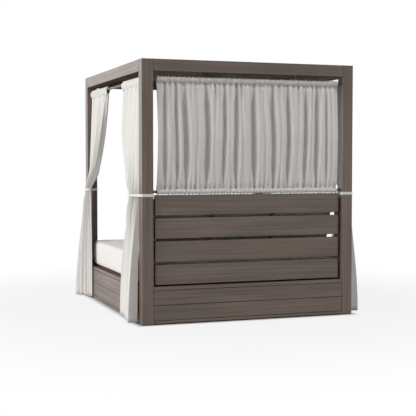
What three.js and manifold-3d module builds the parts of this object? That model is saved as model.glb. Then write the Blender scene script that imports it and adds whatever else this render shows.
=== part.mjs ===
import * as THREE from "three";
import { mergeVertices } from "three/addons/utils/BufferGeometryUtils.js";
import Module from "manifold-3d";

// An outdoor daybed with a canopy frame, a boarded roof, a slatted back and tied curtains.
// Millimetres, +Z up. The open front faces -Y and the slatted back faces +Y.
// The origin lies on the ground, under the middle of the frame.

// Overall size
const overallWidth = 1842;
const overallDepth = 2028;
const overallHeight = 2100;

// Clearances
const seam = 0.4;
const softClearance = 0.5;

// Posts and feet
const postSize = 94;
const postEdgeRadius = 5;
const footHeight = 6;
const footInset = 8;

// Roof
const beamHeight = 94;
const rebateWidth = 16;
const roofThickness = 15;
const roofRecess = 6;
const rafterWidth = 60;

// Base boards, from the top rail down to the sill
const baseTop = 302;
const railHeight = 29;
const railDepth = 45;
const upperPlankHeight = 117;
const lowerPlankHeight = 122;
const sillHeight = 25;
const boardThickness = 28;
const boardChamfer = 2.5;

// Deck under the mattress, as thick as the rail round it
const ledgerWidth = 60;
const ledgerHeight = 40;
const crossbeamWidth = 45;
const crossbeamHeight = 70;

// Slatted back
const slatCount = 4;
const slatHeight = 161;
const slatGap = 24;
const slatThickness = 38;
const slatRecess = 28;
const slatEndGap = 20;
const slatCorner = 8;
const slatEdge = 3;
const slatLift = 12;
const battenWidth = 30;
const battenThickness = 25;
const battenShort = 33;

// Curtain rods and their hangers
const rodRadius = 11;
const rodDrop = 58;
const flangeRadius = 15;
const flangeThickness = 4;
const hangerStemRadius = 4;
const hangerPlateRadius = 13;
const hangerPlateThickness = 3;
const hangerEyeWall = 4;
const hangerEyeWidth = 8;
const hangerPlaceShare = 0.25;

// Cloth
const clothHalfThickness = 4;
const pocketHalfThickness = 19;
const columnsPerFold = 4;

// Back curtain, gathered on an upper and a lower rod
const backCurtainEndGap = 36;
const backCurtainFolds = 18;
const backCurtainWave = 9;
const backPocketHalfHeight = 22;
const backCurtainSlatGap = 4;
const pocketEdgeShare = 0.75;
const pinchedWaveShare = 0.6;

// Side curtains, one at each post, tied back at the waist
const curtainFolds = 5;
const curtainStart = 8;
const curtainReach = 650;
const headingRise = 33;
const pocketDrop = 46;
const pocketDropShare = 0.5;
const pocketSwellShare = 0.9;
const headingSwellShare = 0.6;
const headingEdgeShare = 0.4;
const headerWave = 4;
const headerPower = 4;
const swagWave = 17;
const waistHold = 18;
const waistStart = 30;
const waistReach = 140;
const waistWave = 30;
const hemHeight = 14;
const hemWave = 9;
const hemEdgeOut = 14;
const hemCornerShare = 0.2;
const hemReturnShare = 0.85;
const skirtPower = 1.3;
const skirtRowShares = [1, 0.68, 0.36, 0.12, 0];
const swagRowShares = [0, 0.1, 0.28, 0.52, 0.78, 1];
const bundleFadeShare = 0.25;

// Where the curtains at the back posts and at the front posts hang differently
const backSet = { waistOut: 25, swagPower: 3.4, hemFlare: 92, hemReach: 470, hemEndOut: 36 };
const frontSet = { waistOut: 6, swagPower: 1.9, hemFlare: 116, hemReach: 215, hemEndOut: 16 };

// Tie bands round each post and its curtain
const bandHeight = 24;
const bandThickness = 3;
const bandSlack = 2;
const bandRodGap = 1;

// Mattress
const mattressSideInset = 35;
const mattressEndGap = 5;
const mattressThickness = 242;
const mattressCorner = 90;
const mattressEdge = 26;
const mattressCrown = 9;
const mattressDrawIn = 5;

const mattressShoulderShare = 0.75;
const mattressShoulderInset = 78;
const mattressCrownInset = 130;

// Back cushions, leaning on the slats
const cushionCount = 3;
const cushionRowInset = 93;
const cushionGap = 7;
const cushionHeight = 500;
const cushionThickness = 165;
const cushionCorner = 22;
const cushionDrawIn = 16;
const cushionLean = THREE.MathUtils.degToRad(17);
const cushionRowShift = 21;
const cushionSwellShares = [0.97, 0.86, 0.62, 0.34, 0];
const cushionInsetShares = [0.62, 0.34, 0.13, 0.035, 0];

// Values that follow from the sizes above
const halfWidth = overallWidth / 2;
const halfDepth = overallDepth / 2;
const beamBottom = overallHeight - beamHeight;
const rodHeight = beamBottom - rodDrop;
const innerHalfWidth = halfWidth - postSize;
const innerHalfDepth = halfDepth - postSize;
const slatBackY = halfDepth - slatRecess;
const slatFrontY = slatBackY - slatThickness;
const battenFrontY = slatFrontY - seam - battenThickness;
const slatPitch = slatHeight + slatGap;
const slatTop = baseTop + slatLift + slatCount * slatPitch - slatGap;
const lowerRodHeight = slatTop + backCurtainSlatGap + backPocketHalfHeight;
const waistHeight = lowerRodHeight - flangeRadius - bandRodGap - bandHeight / 2;
const cushionPitch = (overallWidth - 2 * cushionRowInset) / cushionCount;
const cushionWidth = cushionPitch - cushionGap;

const wasm = await Module();
wasm.setup();

const daybed = new THREE.Group();

// Finishes

function woodLook() {
  return new THREE.MeshStandardMaterial({ color: 0x7d6f66, roughness: 0.62, metalness: 0 });
}

function rodMetal() {
  return new THREE.MeshStandardMaterial({ color: 0x6b5f57, roughness: 0.45, metalness: 0.6 });
}

function footPlastic() {
  return new THREE.MeshStandardMaterial({ color: 0x2b2826, roughness: 0.7, metalness: 0 });
}

function curtainCloth() {
  return new THREE.MeshStandardMaterial({ color: 0xf1eeea, roughness: 0.9, metalness: 0 });
}

function cushionCloth() {
  return new THREE.MeshStandardMaterial({ color: 0xf6f4f1, roughness: 0.88, metalness: 0 });
}

// Helpers

function place(name, geometry, material, position = [0, 0, 0], parent = daybed) {
  const piece = new THREE.Mesh(geometry, material);
  piece.name = name;
  piece.position.set(...position);
  parent.add(piece);
  return piece;
}

function shapeFrom(points) {
  return new THREE.Shape(points.map(([x, y]) => new THREE.Vector2(x, y)));
}

function roundedRectangle(width, height, radius) {
  const shape = new THREE.Shape();
  const right = width / 2 - radius;
  const top = height / 2 - radius;
  shape.absarc(right, top, radius, 0, Math.PI / 2);
  shape.absarc(-right, top, radius, Math.PI / 2, Math.PI);
  shape.absarc(-right, -top, radius, Math.PI, 1.5 * Math.PI);
  shape.absarc(right, -top, radius, 1.5 * Math.PI, 2 * Math.PI);
  shape.closePath();
  return shape;
}

function extruded(shape, depth, curveSegments = 3) {
  return new THREE.ExtrudeGeometry(shape, { depth, bevelEnabled: false, curveSegments });
}

// A section drawn in Y and Z, run along X and centred on it
function runAlongX(points, length) {
  const geometry = extruded(shapeFrom(points), length);
  const turn = new THREE.Matrix4().makeBasis(
    new THREE.Vector3(0, 1, 0),
    new THREE.Vector3(0, 0, 1),
    new THREE.Vector3(1, 0, 0),
  );
  geometry.applyMatrix4(turn);
  return geometry.translate(-length / 2, 0, 0);
}

function turnedAlongX(profile, segments) {
  const points = profile.map(([radius, along]) => new THREE.Vector2(radius, along));
  return new THREE.LatheGeometry(points, segments).rotateZ(-Math.PI / 2);
}

function solidFrom(geometry) {
  const bare = geometry.clone();
  bare.deleteAttribute("normal");
  bare.deleteAttribute("uv");
  const merged = mergeVertices(bare);
  const vertProperties = new Float32Array(merged.attributes.position.array);
  const triVerts = new Uint32Array(merged.index.array);
  return new wasm.Manifold(new wasm.Mesh({ numProp: 3, vertProperties, triVerts }));
}

function geometryFrom(solid) {
  const mesh = solid.getMesh();
  const geometry = new THREE.BufferGeometry();
  geometry.setAttribute("position", new THREE.BufferAttribute(mesh.vertProperties, 3));
  geometry.setIndex(new THREE.BufferAttribute(mesh.triVerts, 1));
  geometry.computeVertexNormals();
  return geometry;
}

function cutFrom(geometry, cutters) {
  let solid = solidFrom(geometry);
  for (const cutter of cutters) {
    solid = solid.subtract(solidFrom(cutter));
  }
  return geometryFrom(solid);
}

function joined(first, second) {
  return geometryFrom(solidFrom(first).add(solidFrom(second)));
}

function between(first, second, share) {
  return first + (second - first) * share;
}

// A closed solid from rings of equal length. Each end is closed by the given list of triangles.
function loft(rings, endTriangles) {
  const count = rings[0].length;
  const positions = rings.flat().flatMap((point) => [point.x, point.y, point.z]);
  const index = [];
  for (let row = 0; row + 1 < rings.length; row += 1) {
    for (let column = 0; column < count; column += 1) {
      const here = row * count + column;
      const next = row * count + ((column + 1) % count);
      index.push(here, next, next + count, here, next + count, here + count);
    }
  }
  const last = (rings.length - 1) * count;
  for (const [a, b, c] of endTriangles) {
    index.push(a, c, b, last + a, last + b, last + c);
  }
  return facingOut(positions, index);
}

function facingOut(positions, index) {
  const corner = (place) => new THREE.Vector3().fromArray(positions, index[place] * 3);
  let volume = 0;
  for (let place = 0; place < index.length; place += 3) {
    volume += corner(place).dot(corner(place + 1).cross(corner(place + 2)));
  }
  if (volume < 0) {
    index.reverse();
  }
  const geometry = new THREE.BufferGeometry();
  geometry.setAttribute("position", new THREE.Float32BufferAttribute(positions, 3));
  geometry.setIndex(index);
  geometry.computeVertexNormals();
  return geometry;
}

// Posts and feet

function addPosts() {
  const section = roundedRectangle(postSize, postSize, postEdgeRadius);
  const footSize = postSize - 2 * footInset;
  const footSection = roundedRectangle(footSize, footSize, postEdgeRadius);
  const x = halfWidth - postSize / 2;
  const y = halfDepth - postSize / 2;
  for (const [side, sideSign] of [["left", 1], ["right", -1]]) {
    for (const [end, endSign] of [["back", 1], ["front", -1]]) {
      const postBottom = footHeight + seam;
      const post = extruded(section, overallHeight - postBottom);
      const foot = extruded(footSection, footHeight);
      place(`post_${end}_${side}`, post, woodLook(), [sideSign * x, endSign * y, postBottom]);
      place(`foot_${end}_${side}`, foot, footPlastic(), [sideSign * x, endSign * y, 0]);
    }
  }
}

// The four sides of the frame: a top beam, and a rail, two planks and a sill at the base.
// Each side is built facing +Y and turned to its place.

function beamGeometry(length) {
  const ledge = beamHeight - roofRecess - roofThickness - seam;
  const section = [
    [-postSize, 0],
    [0, 0],
    [0, beamHeight],
    [rebateWidth - postSize, beamHeight],
    [rebateWidth - postSize, ledge],
    [-postSize, ledge],
  ];
  return runAlongX(section, length);
}

function boardGeometry(length, height, depth) {
  const section = [
    [-depth, 0],
    [-boardChamfer, 0],
    [0, boardChamfer],
    [0, height - boardChamfer],
    [-boardChamfer, height],
    [-depth, height],
  ];
  return runAlongX(section, length);
}

function addSide(name, span, distance, angle) {
  const side = new THREE.Group();
  side.rotation.z = angle;
  daybed.add(side);
  const length = span - 2 * (postSize + seam);
  place(`top_beam_${name}`, beamGeometry(length), woodLook(), [0, distance, beamBottom], side);
  const boards = [
    ["base_rail", railHeight, railDepth],
    ["upper_plank", upperPlankHeight, boardThickness],
    ["lower_plank", lowerPlankHeight, boardThickness],
    ["sill", sillHeight, boardThickness],
  ];
  let top = baseTop;
  for (const [board, height, depth] of boards) {
    const bottom = top - height;
    place(`${board}_${name}`, boardGeometry(length, height, depth), woodLook(), [0, distance, bottom], side);
    top = bottom - seam;
  }
}

function addSides() {
  addSide("back", overallWidth, halfDepth, 0);
  addSide("front", overallWidth, halfDepth, Math.PI);
  addSide("left", overallDepth, halfWidth, -Math.PI / 2);
  addSide("right", overallDepth, halfWidth, Math.PI / 2);
}

// Roof: one rafter from front to back, and a panel in the rebates on each side of it

function addRoof() {
  const ledge = beamHeight - roofRecess - roofThickness - seam;
  const half = rafterWidth / 2;
  const neck = half - rebateWidth;
  const section = [
    [-half, 0],
    [half, 0],
    [half, ledge],
    [neck, ledge],
    [neck, beamHeight - roofRecess],
    [-neck, beamHeight - roofRecess],
    [-neck, ledge],
    [-half, ledge],
  ];
  const rafter = runAlongX(section, overallDepth - 2 * (postSize + seam)).rotateZ(Math.PI / 2);
  place("roof_rafter", rafter, woodLook(), [0, 0, beamBottom]);

  const inner = neck + seam;
  const outer = innerHalfWidth + rebateWidth - seam;
  const end = innerHalfDepth + rebateWidth - seam;
  const notchX = innerHalfWidth - seam;
  const notchY = innerHalfDepth - seam;
  for (const [name, sign] of [["left", 1], ["right", -1]]) {
    const outline = [
      [sign * inner, -end],
      [sign * notchX, -end],
      [sign * notchX, -notchY],
      [sign * outer, -notchY],
      [sign * outer, notchY],
      [sign * notchX, notchY],
      [sign * notchX, end],
      [sign * inner, end],
    ];
    const bottom = overallHeight - roofRecess - roofThickness;
    place(`roof_panel_${name}`, extruded(shapeFrom(outline), roofThickness), woodLook(), [0, 0, bottom]);
  }
}

// Deck, on a ledger along each side and a crossbeam between them

function addDeck() {
  const edgeX = halfWidth - railDepth - seam;
  const edgeY = halfDepth - railDepth - seam;
  const notchX = innerHalfWidth - seam;
  const notchY = innerHalfDepth - seam;
  const outline = [
    [edgeX, -notchY],
    [edgeX, notchY],
    [notchX, notchY],
    [notchX, edgeY],
    [-notchX, edgeY],
    [-notchX, notchY],
    [-edgeX, notchY],
    [-edgeX, -notchY],
    [-notchX, -notchY],
    [-notchX, -edgeY],
    [notchX, -edgeY],
    [notchX, -notchY],
  ];
  const deckBottom = baseTop - railHeight;
  place("deck", extruded(shapeFrom(outline), railHeight), woodLook(), [0, 0, deckBottom]);

  const supportTop = deckBottom - seam;
  const ledgerLength = 2 * (innerHalfDepth - seam);
  const ledgerX = halfWidth - boardThickness - seam - ledgerWidth / 2;
  for (const [name, sign] of [["left", 1], ["right", -1]]) {
    const ledger = new THREE.BoxGeometry(ledgerWidth, ledgerLength, ledgerHeight);
    place(`deck_ledger_${name}`, ledger, woodLook(), [sign * ledgerX, 0, supportTop - ledgerHeight / 2]);
  }
  const crossbeamLength = 2 * (ledgerX - ledgerWidth / 2 - seam);
  const crossbeam = new THREE.BoxGeometry(crossbeamLength, crossbeamWidth, crossbeamHeight);
  place("deck_crossbeam", crossbeam, woodLook(), [0, 0, supportTop - crossbeamHeight / 2]);
}

// Slatted back: horizontal slats, carried at both ends by an upright batten on the post

function slatGeometry(length) {
  const outline = roundedRectangle(length - 2 * slatEdge, slatHeight - 2 * slatEdge, slatCorner);
  const settings = {
    depth: slatThickness - 2 * slatEdge,
    bevelThickness: slatEdge,
    bevelSize: slatEdge,
    bevelSegments: 2,
    curveSegments: 3,
  };
  return new THREE.ExtrudeGeometry(outline, settings).rotateX(Math.PI / 2);
}

function addSlattedBack() {
  const length = 2 * (innerHalfWidth - slatEndGap);
  const firstCentre = baseTop + slatLift + slatHeight / 2;
  for (let number = 0; number < slatCount; number += 1) {
    const z = firstCentre + number * slatPitch;
    place(`back_slat_${number + 1}`, slatGeometry(length), woodLook(), [0, slatBackY - slatEdge, z]);
  }
  const bottom = baseTop + seam;
  const height = slatTop - battenShort - bottom;
  const x = innerHalfWidth - seam - battenWidth / 2;
  for (const [name, sign] of [["left", 1], ["right", -1]]) {
    const batten = new THREE.BoxGeometry(battenWidth, battenThickness, height);
    const y = battenFrontY + battenThickness / 2;
    place(`slat_batten_${name}`, batten, woodLook(), [sign * x, y, bottom + height / 2]);
  }
}

// Curtain rods with a flange at each post, and the two eyes that hold up the long back rod

function rodGeometry(length) {
  const profile = [
    [0, 0],
    [flangeRadius, 0],
    [flangeRadius, flangeThickness],
    [rodRadius, flangeThickness],
    [rodRadius, length - flangeThickness],
    [flangeRadius, length - flangeThickness],
    [flangeRadius, length],
    [0, length],
  ];
  return turnedAlongX(profile, 12).translate(-length / 2, 0, 0);
}

// The sides of a bore lie outside the round piece that runs in it
function boreGeometry(length, radius) {
  const sides = 12;
  const corner = radius / Math.cos(Math.PI / sides);
  return new THREE.CylinderGeometry(corner, corner, length, sides).rotateZ(Math.PI / 2);
}

function hangerGeometry() {
  const eyeInner = rodRadius + softClearance;
  const eyeOuter = eyeInner + hangerEyeWall;
  const ring = new THREE.Shape().absarc(0, 0, eyeOuter, 0, 2 * Math.PI);
  ring.holes.push(new THREE.Path().absarc(0, 0, eyeInner, 0, 2 * Math.PI));
  const eye = extruded(ring, hangerEyeWidth, 8).translate(0, 0, -hangerEyeWidth / 2).rotateY(Math.PI / 2);
  const top = rodDrop - seam;
  const plateBottom = top - hangerPlateThickness;
  const stemBottom = eyeInner + hangerEyeWall / 2;
  const profile = [
    [0, stemBottom],
    [hangerStemRadius, stemBottom],
    [hangerStemRadius, plateBottom],
    [hangerPlateRadius, plateBottom],
    [hangerPlateRadius, top],
    [0, top],
  ];
  const points = profile.map(([radius, height]) => new THREE.Vector2(radius, height));
  const stem = new THREE.LatheGeometry(points, 10).rotateX(Math.PI / 2);
  return joined(eye, stem);
}

const backRodY = halfDepth - postSize / 2;
const sideRodX = halfWidth - postSize / 2;
const hangerX = innerHalfWidth * (1 - 2 * hangerPlaceShare);

function addRods() {
  const backLength = 2 * (innerHalfWidth - seam);
  place("curtain_rod_back_upper", rodGeometry(backLength), rodMetal(), [0, backRodY, rodHeight]);
  place("curtain_rod_back_lower", rodGeometry(backLength), rodMetal(), [0, backRodY, lowerRodHeight]);
  const sideLength = 2 * (innerHalfDepth - seam);
  for (const [name, sign] of [["left", 1], ["right", -1]]) {
    const rod = rodGeometry(sideLength).rotateZ(Math.PI / 2);
    place(`curtain_rod_${name}`, rod, rodMetal(), [sign * sideRodX, 0, rodHeight]);
    place(`rod_hanger_${name}`, hangerGeometry(), rodMetal(), [sign * hangerX, backRodY, rodHeight]);
  }
}

// Cloth: rows of points along its middle, thickened to both sides and closed all round

function ribbon(rows) {
  const rings = rows.map(({ line, halfThickness }) => {
    const outer = [];
    const inner = [];
    line.forEach((point, place) => {
      const before = line[Math.max(place - 1, 0)];
      const after = line[Math.min(place + 1, line.length - 1)];
      const along = after.clone().sub(before).setZ(0).normalize();
      const across = new THREE.Vector3(-along.y, along.x, 0).multiplyScalar(halfThickness);
      outer.push(point.clone().add(across));
      inner.push(point.clone().sub(across));
    });
    return [...outer, ...inner.reverse()];
  });
  const count = rings[0].length;
  const endTriangles = [];
  for (let place = 0; place + 1 < count / 2; place += 1) {
    const facing = count - 1 - place;
    endTriangles.push([place, place + 1, facing - 1], [place, facing - 1, facing]);
  }
  return loft(rings, endTriangles);
}

function foldWave(share, folds) {
  return Math.sin(2 * Math.PI * folds * share);
}

// Back curtain: a gathered pocket round each rod, with the folds between them

function backCurtainGeometry() {
  const half = innerHalfWidth - backCurtainEndGap;
  const columns = columnsPerFold * backCurtainFolds;
  const rise = rodHeight - lowerRodHeight;
  const pocket = backPocketHalfHeight;
  const pocketEdge = pocketEdgeShare * pocketHalfThickness;
  const pinchedWave = pinchedWaveShare * backCurtainWave;
  const levels = [
    [-pocket, pocketEdge, 0],
    [pocket, pocketEdge, 0],
    [2 * pocket, clothHalfThickness, pinchedWave],
    [rise / 2, clothHalfThickness, backCurtainWave],
    [rise - 2 * pocket, clothHalfThickness, pinchedWave],
    [rise - pocket, pocketEdge, 0],
    [rise + pocket, pocketEdge, 0],
  ];
  const rows = levels.map(([level, halfThickness, wave]) => {
    const line = [];
    for (let column = 0; column <= columns; column += 1) {
      const share = column / columns;
      const x = between(-half, half, share);
      line.push(new THREE.Vector3(x, wave * foldWave(share, backCurtainFolds), level));
    }
    return { line, halfThickness };
  });
  return ribbon(rows);
}

function addBackCurtain() {
  const boreLength = overallWidth;
  const boreRadius = rodRadius + softClearance;
  const rise = rodHeight - lowerRodHeight;
  const cutters = [
    boreGeometry(boreLength, boreRadius),
    boreGeometry(boreLength, boreRadius).translate(0, 0, rise),
  ];
  const eyeRadius = boreRadius + hangerEyeWall + softClearance;
  const eyeLength = hangerEyeWidth + 2 * softClearance;
  for (const sign of [1, -1]) {
    const eye = boreGeometry(eyeLength, eyeRadius).translate(sign * hangerX, 0, rise);
    const stemRadius = hangerStemRadius + 2 * softClearance;
    const stem = new THREE.CylinderGeometry(stemRadius, stemRadius, rodDrop, 10).rotateX(Math.PI / 2);
    cutters.push(eye, stem.translate(sign * hangerX, 0, rise + rodDrop / 2));
  }
  const curtain = cutFrom(backCurtainGeometry(), cutters);
  place("back_curtain", curtain, curtainCloth(), [0, backRodY, lowerRodHeight]);
}

// Side curtains. Their plan is drawn in "reach", the distance from the post along the side,
// and "out", the distance outside the frame's side.

function waistLine(share, set) {
  return { reach: between(waistStart, waistReach, share), out: set.waistOut };
}

function hemLine(share, set) {
  const returnReach = hemReturnShare * set.hemReach;
  if (share < hemCornerShare) {
    const part = share / hemCornerShare;
    return { reach: 0, out: between(hemEdgeOut, set.hemFlare, part) };
  }
  if (share < hemReturnShare) {
    const part = (share - hemCornerShare) / (hemReturnShare - hemCornerShare);
    return { reach: between(0, returnReach, part), out: between(set.hemFlare, hemEdgeOut, part) };
  }
  const part = (share - hemReturnShare) / (1 - hemReturnShare);
  return { reach: between(returnReach, set.hemReach, part), out: between(hemEdgeOut, set.hemEndOut, part) };
}

function bundleShare(share) {
  return Math.sqrt(Math.max(1 - (2 * share - 1) ** 2, 0));
}

// A row above the tie: straight along the rod, drawn in towards the waist
function swagRow(climb, set) {
  const grow = 1 - (1 - climb) ** set.swagPower;
  const columns = columnsPerFold * curtainFolds;
  const points = [];
  for (let column = 0; column <= columns; column += 1) {
    const share = column / columns;
    const start = between(waistStart, curtainStart, grow);
    const reach = between(start, between(waistReach, curtainReach, grow), share);
    const middle = between(set.waistOut, -postSize / 2, climb);
    const loosened = Math.min(climb / bundleFadeShare, 1);
    const swag = between(waistWave * bundleShare(share), swagWave, loosened);
    const wave = between(swag, headerWave, climb ** headerPower);
    points.push({ reach, out: middle + wave * foldWave(share, curtainFolds) });
  }
  return points;
}

// A row below the tie: from the bundle at the waist out to the flared hem
function skirtRow(drop, set) {
  const spread = 1 - (1 - drop) ** skirtPower;
  const loosened = Math.min(drop / bundleFadeShare, 1);
  const columns = columnsPerFold * curtainFolds;
  const points = [];
  for (let column = 0; column <= columns; column += 1) {
    const share = column / columns;
    const waist = waistLine(share, set);
    const hem = hemLine(share, set);
    const wave = between(waistWave, hemWave, loosened) * bundleShare(share);
    points.push({
      reach: between(waist.reach, hem.reach, spread),
      out: between(waist.out, hem.out, spread) + wave * foldWave(share, curtainFolds),
    });
  }
  return points;
}

function sideCurtainRows(set) {
  const rows = [];
  const skirtTop = waistHeight - waistHold;
  const swagBottom = waistHeight + waistHold;
  for (const drop of skirtRowShares) {
    const z = between(skirtTop, hemHeight, drop);
    rows.push({ z, points: skirtRow(drop, set), half: clothHalfThickness });
  }
  const swagTop = rodHeight - pocketDrop;
  for (const climbShare of swagRowShares) {
    const z = between(swagBottom, swagTop, climbShare);
    const climb = (z - swagBottom) / (rodHeight - swagBottom);
    rows.push({ z, points: swagRow(climb, set), half: clothHalfThickness });
  }
  const pocketLevels = [
    [-pocketDropShare * pocketDrop, pocketSwellShare],
    [headingSwellShare * headingRise, pocketSwellShare],
    [headingRise, headingEdgeShare],
  ];
  for (const [level, swellShare] of pocketLevels) {
    rows.push({ z: rodHeight + level, points: swagRow(1, set), half: swellShare * pocketHalfThickness });
  }
  return rows;
}

function sideCurtainGeometry(sideSign, endSign, set) {
  const rows = sideCurtainRows(set).map(({ z, points, half }) => {
    const line = points.map(({ reach, out }) => {
      const x = sideSign * (halfWidth + out);
      const y = endSign * (innerHalfDepth - reach);
      return new THREE.Vector3(x, y, z);
    });
    return { line, halfThickness: half };
  });
  const bore = boreGeometry(overallDepth, rodRadius + softClearance).rotateZ(Math.PI / 2);
  return cutFrom(ribbon(rows), [bore.translate(sideSign * sideRodX, 0, rodHeight)]);
}

function addSideCurtains() {
  for (const [side, sideSign] of [["left", 1], ["right", -1]]) {
    for (const [end, endSign, set] of [["back", 1, backSet], ["front", -1, frontSet]]) {
      place(`side_curtain_${end}_${side}`, sideCurtainGeometry(sideSign, endSign, set), curtainCloth());
      place(`tie_band_${end}_${side}`, tieBandGeometry(sideSign, endSign, set), curtainCloth());
    }
  }
}

// Tie band: a strap drawn tight round the post and the waist of its curtain

function convexOutline(points) {
  const sorted = [...points].sort((a, b) => a.x - b.x || a.y - b.y);
  const turnsRight = (a, b, c) => (b.x - a.x) * (c.y - a.y) - (b.y - a.y) * (c.x - a.x) <= 0;
  const chain = (ordered) => {
    const kept = [];
    for (const point of ordered) {
      while (kept.length > 1 && turnsRight(kept.at(-2), kept.at(-1), point)) {
        kept.pop();
      }
      kept.push(point);
    }
    return kept.slice(0, -1);
  };
  return [...chain(sorted), ...chain([...sorted].reverse())];
}

function bandOutline(offset, sideSign, endSign, set) {
  const points = [];
  const arc = (centreReach, centreOut, radiusReach, radiusOut, steps) => {
    for (let step = 0; step < steps; step += 1) {
      const angle = (2 * Math.PI * (step + 0.5)) / steps;
      const out = centreOut + radiusOut * Math.cos(angle);
      const reach = centreReach + radiusReach * Math.sin(angle);
      points.push(new THREE.Vector2(sideSign * (halfWidth + out), endSign * (innerHalfDepth - reach)));
    }
  };
  const corner = postEdgeRadius;
  for (const reach of [-corner, corner - postSize]) {
    for (const out of [-corner, corner - postSize]) {
      arc(reach, out, corner + offset, corner + offset, 8);
    }
  }
  const middle = (waistStart + waistReach) / 2;
  const halfReach = (waistReach - waistStart) / 2 + clothHalfThickness + bandSlack;
  const halfOut = waistWave + clothHalfThickness + bandSlack;
  arc(middle, set.waistOut, halfReach + offset, halfOut + offset, 16);
  return convexOutline(points);
}

function tieBandGeometry(sideSign, endSign, set) {
  const shape = new THREE.Shape(bandOutline(softClearance + bandThickness, sideSign, endSign, set));
  shape.holes.push(new THREE.Path(bandOutline(softClearance, sideSign, endSign, set)));
  return extruded(shape, bandHeight).translate(0, 0, waistHeight - bandHeight / 2);
}

// Soft pieces: a rounded outline, drawn in between its corners, with rings that rise to a crown

function softOutline(width, height, corner, drawIn, inset, sideSteps, cornerSteps) {
  const halfX = width / 2 - inset;
  const halfY = height / 2 - inset;
  const radius = Math.max(corner - inset, corner / 4);
  const points = [];
  const sides = [[1, 0], [0, 1], [-1, 0], [0, -1]];
  sides.forEach(([normalX, normalY], side) => {
    const reach = normalX ? halfX : halfY;
    const half = (normalX ? halfY : halfX) - radius;
    for (let step = 0; step < sideSteps; step += 1) {
      const along = between(-1, 1, step / sideSteps);
      const pulled = reach - drawIn * (1 - along ** 2);
      const x = normalX * pulled - normalY * along * half;
      const y = normalY * pulled + normalX * along * half;
      points.push(new THREE.Vector2(x, y));
    }
    for (let step = 0; step < cornerSteps; step += 1) {
      const angle = (Math.PI / 2) * (side + step / cornerSteps);
      const cornerX = (normalX || -normalY) * (halfX - radius);
      const cornerY = (normalY || normalX) * (halfY - radius);
      points.push(new THREE.Vector2(cornerX + radius * Math.cos(angle), cornerY + radius * Math.sin(angle)));
    }
  });
  return points;
}

function softSolid(outlineAt, profile) {
  const rings = profile.map(({ inset, level }) =>
    outlineAt(inset).map((point) => new THREE.Vector3(point.x, point.y, level)),
  );
  const count = rings[0].length;
  const endTriangles = [];
  for (let place = 1; place + 1 < count; place += 1) {
    endTriangles.push([0, place, place + 1]);
  }
  return loft(rings, endTriangles);
}

function addMattress() {
  const width = overallWidth - 2 * mattressSideInset;
  const length = 2 * (innerHalfDepth - mattressEndGap);
  const outlineAt = (inset) => softOutline(width, length, mattressCorner, mattressDrawIn, inset, 3, 4);
  const edge = mattressEdge;
  const shoulder = mattressThickness - mattressCrown;
  const rounded = 1 - Math.SQRT1_2;
  const profile = [
    { inset: edge, level: 0 },
    { inset: edge * rounded, level: edge * rounded },
    { inset: 0, level: edge },
    { inset: 0, level: shoulder - edge },
    { inset: edge * rounded, level: shoulder - edge * rounded },
    { inset: edge, level: shoulder },
    { inset: mattressShoulderInset, level: shoulder + mattressShoulderShare * mattressCrown },
    { inset: mattressCrownInset, level: mattressThickness },
  ];
  place("mattress", softSolid(outlineAt, profile), cushionCloth(), [0, 0, baseTop + seam]);
}

function cushionGeometry() {
  const outlineAt = (inset) =>
    softOutline(cushionWidth, cushionHeight, cushionCorner, cushionDrawIn, inset, 4, 2);
  const front = cushionSwellShares.map((swellShare, place) => ({
    inset: (cushionInsetShares[place] * cushionHeight) / 2,
    level: (swellShare * cushionThickness) / 2,
  }));
  const back = front.slice(0, -1).map(({ inset, level }) => ({ inset, level: -level }));
  const profile = [...back, ...front.reverse()];
  return softSolid(outlineAt, profile).rotateX(Math.PI / 2 - cushionLean);
}

function addCushions() {
  const names = ["right", "middle", "left"];
  const restTop = baseTop + seam + mattressThickness;
  for (let number = 0; number < cushionCount; number += 1) {
    const cushion = cushionGeometry();
    cushion.computeBoundingBox();
    const x = (number - (cushionCount - 1) / 2) * cushionPitch + cushionRowShift;
    const y = battenFrontY - softClearance - cushion.boundingBox.max.y;
    const z = restTop + softClearance - cushion.boundingBox.min.z;
    place(`back_cushion_${names[number]}`, cushion, cushionCloth(), [x, y, z]);
  }
}

addPosts();
addSides();
addRoof();
addDeck();
addSlattedBack();
addRods();
addBackCurtain();
addSideCurtains();
addMattress();
addCushions();

export default daybed;
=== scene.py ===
"""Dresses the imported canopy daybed.

Its solids get stained timber and painted metal, and its curtains, tie bands, mattress and back cushions are
made as cloth and padding. The file is laid out as an add-on, and run as a script."""

import math

import bmesh
import bpy
import numpy as np
from bpy.props import FloatProperty, FloatVectorProperty, IntProperty, PointerProperty
from mathutils import Euler, Matrix, Vector
from mathutils.bvhtree import BVHTree
from mathutils.geometry import convex_hull_2d


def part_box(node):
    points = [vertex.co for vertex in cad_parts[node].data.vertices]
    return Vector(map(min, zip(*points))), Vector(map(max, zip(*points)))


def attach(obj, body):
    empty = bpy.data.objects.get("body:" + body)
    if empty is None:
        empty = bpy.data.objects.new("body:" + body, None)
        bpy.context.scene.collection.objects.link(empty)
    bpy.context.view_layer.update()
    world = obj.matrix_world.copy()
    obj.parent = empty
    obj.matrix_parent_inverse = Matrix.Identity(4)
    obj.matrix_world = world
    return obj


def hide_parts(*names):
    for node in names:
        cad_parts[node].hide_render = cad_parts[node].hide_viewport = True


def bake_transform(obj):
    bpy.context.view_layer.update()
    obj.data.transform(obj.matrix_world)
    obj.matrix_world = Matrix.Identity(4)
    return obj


bl_info = {
    "name": "Canopy Daybed",
    "version": (1, 0, 0),
    "blender": (4, 5, 0),
    "location": "View3D > Sidebar > Daybed",
    "description": "Finishes and soft pieces of an outdoor daybed with a canopy",
    "category": "Object",
}

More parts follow.
